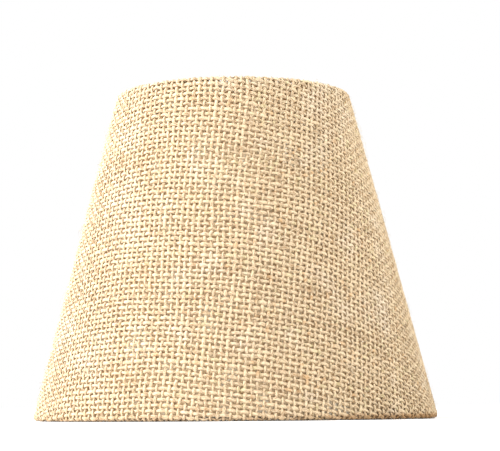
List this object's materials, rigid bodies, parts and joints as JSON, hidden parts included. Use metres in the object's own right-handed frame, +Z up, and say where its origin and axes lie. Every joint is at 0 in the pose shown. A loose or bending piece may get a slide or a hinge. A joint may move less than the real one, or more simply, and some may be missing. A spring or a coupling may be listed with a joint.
{
  "type": "lamp shade",
  "caption": "Small tapered burlap lamp shade with a white lining, wire rings, a dropped crossbar and a tilting wire bulb clip.",
  "frame": {"origin": "centre of the plane the bottom hem stands on", "axes": "+Z up along the shade's axis; the crossbar lies along X; the front is -Y and the cloth's lapped seam is at +Y"},
  "size_m": [0.1524, 0.153, 0.1228],
  "materials": {
    "burlap": "open plain weave of natural jute yarn, matt and hairy",
    "white_lining": "white lampshade film, satin",
    "white_enamel": "white enamelled steel wire",
    "brass_plate": "brass-plated wire and tube, softly polished",
    "brass_spring_wire": "brass-plated spring wire, softly polished"
  },
  "bodies": {
    "shade": {"burlap_cover": "burlap", "top_hem": "burlap", "bottom_hem": "burlap", "lining": "white_lining", "top_ring": "white_enamel", "bottom_ring": "white_enamel", "crossbar": "brass_plate"},
    "clip": {"pivot_sleeve": "brass_plate"},
    "front_jaw": {"clip_loop_front": "brass_spring_wire"},
    "back_jaw": {"clip_loop_back": "brass_spring_wire"}
  },
  "joints": [
    {"name": "clip_tilt", "type": "hinge", "parent": "shade", "child": "clip", "pos_m": [0, 0, 0.1083], "axis": [1, 0, 0], "range_deg": [-40, 40]},
    {"name": "front_jaw_open", "type": "hinge", "parent": "clip", "child": "front_jaw", "pos_m": [0, -0.0032, 0.1083], "axis": [-1, 0, 0], "range_deg": [0, 8], "stiffness_Nm_per_rad": 2},
    {"name": "back_jaw_open", "type": "hinge", "parent": "clip", "child": "back_jaw", "pos_m": [0, 0.0032, 0.1083], "axis": [1, 0, 0], "range_deg": [0, 8], "stiffness_Nm_per_rad": 2}
  ]
}
